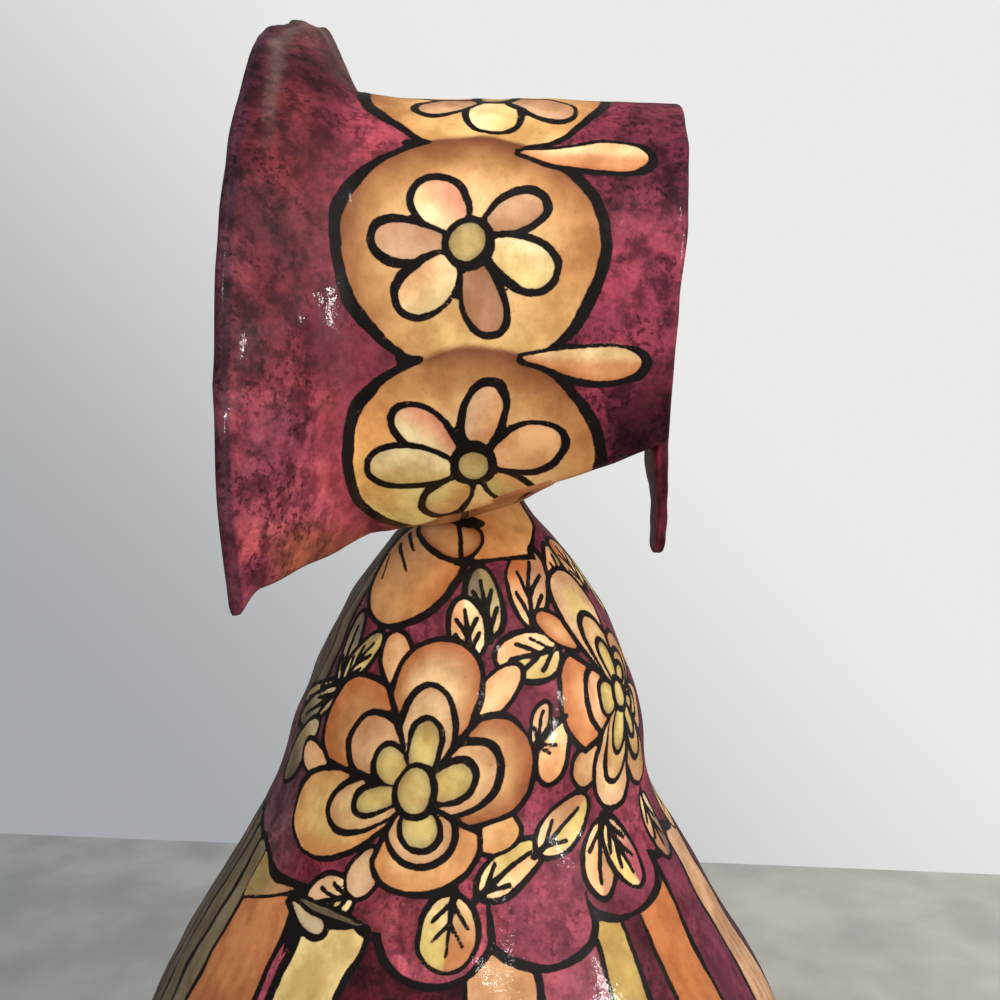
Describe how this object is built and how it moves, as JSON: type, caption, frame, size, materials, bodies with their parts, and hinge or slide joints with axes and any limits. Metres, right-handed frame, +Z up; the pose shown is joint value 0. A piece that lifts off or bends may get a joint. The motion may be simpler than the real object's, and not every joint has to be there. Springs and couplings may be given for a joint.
{
  "type": "papier-mache figure",
  "caption": "Painted papier-mache figure of a woman in a deep poke bonnet over a bell-shaped shawl and skirt, standing on its flat underside.",
  "frame": {"origin": "centre of the flat underside, on the surface the figure stands on", "axes": "+Z up, the figure faces -Y, +X to the figure's left"},
  "size_m": [0.344, 0.344, 0.4936],
  "materials": {
    "painted_body": "glossy varnished paint",
    "painted_bonnet": "glossy varnished paint",
    "painted_ribbon": "glossy varnished paint"
  },
  "bodies": {
    "root": {"body": "painted_body", "bonnet": "painted_bonnet", "ribbon": "painted_ribbon"}
  },
  "joints": []
}
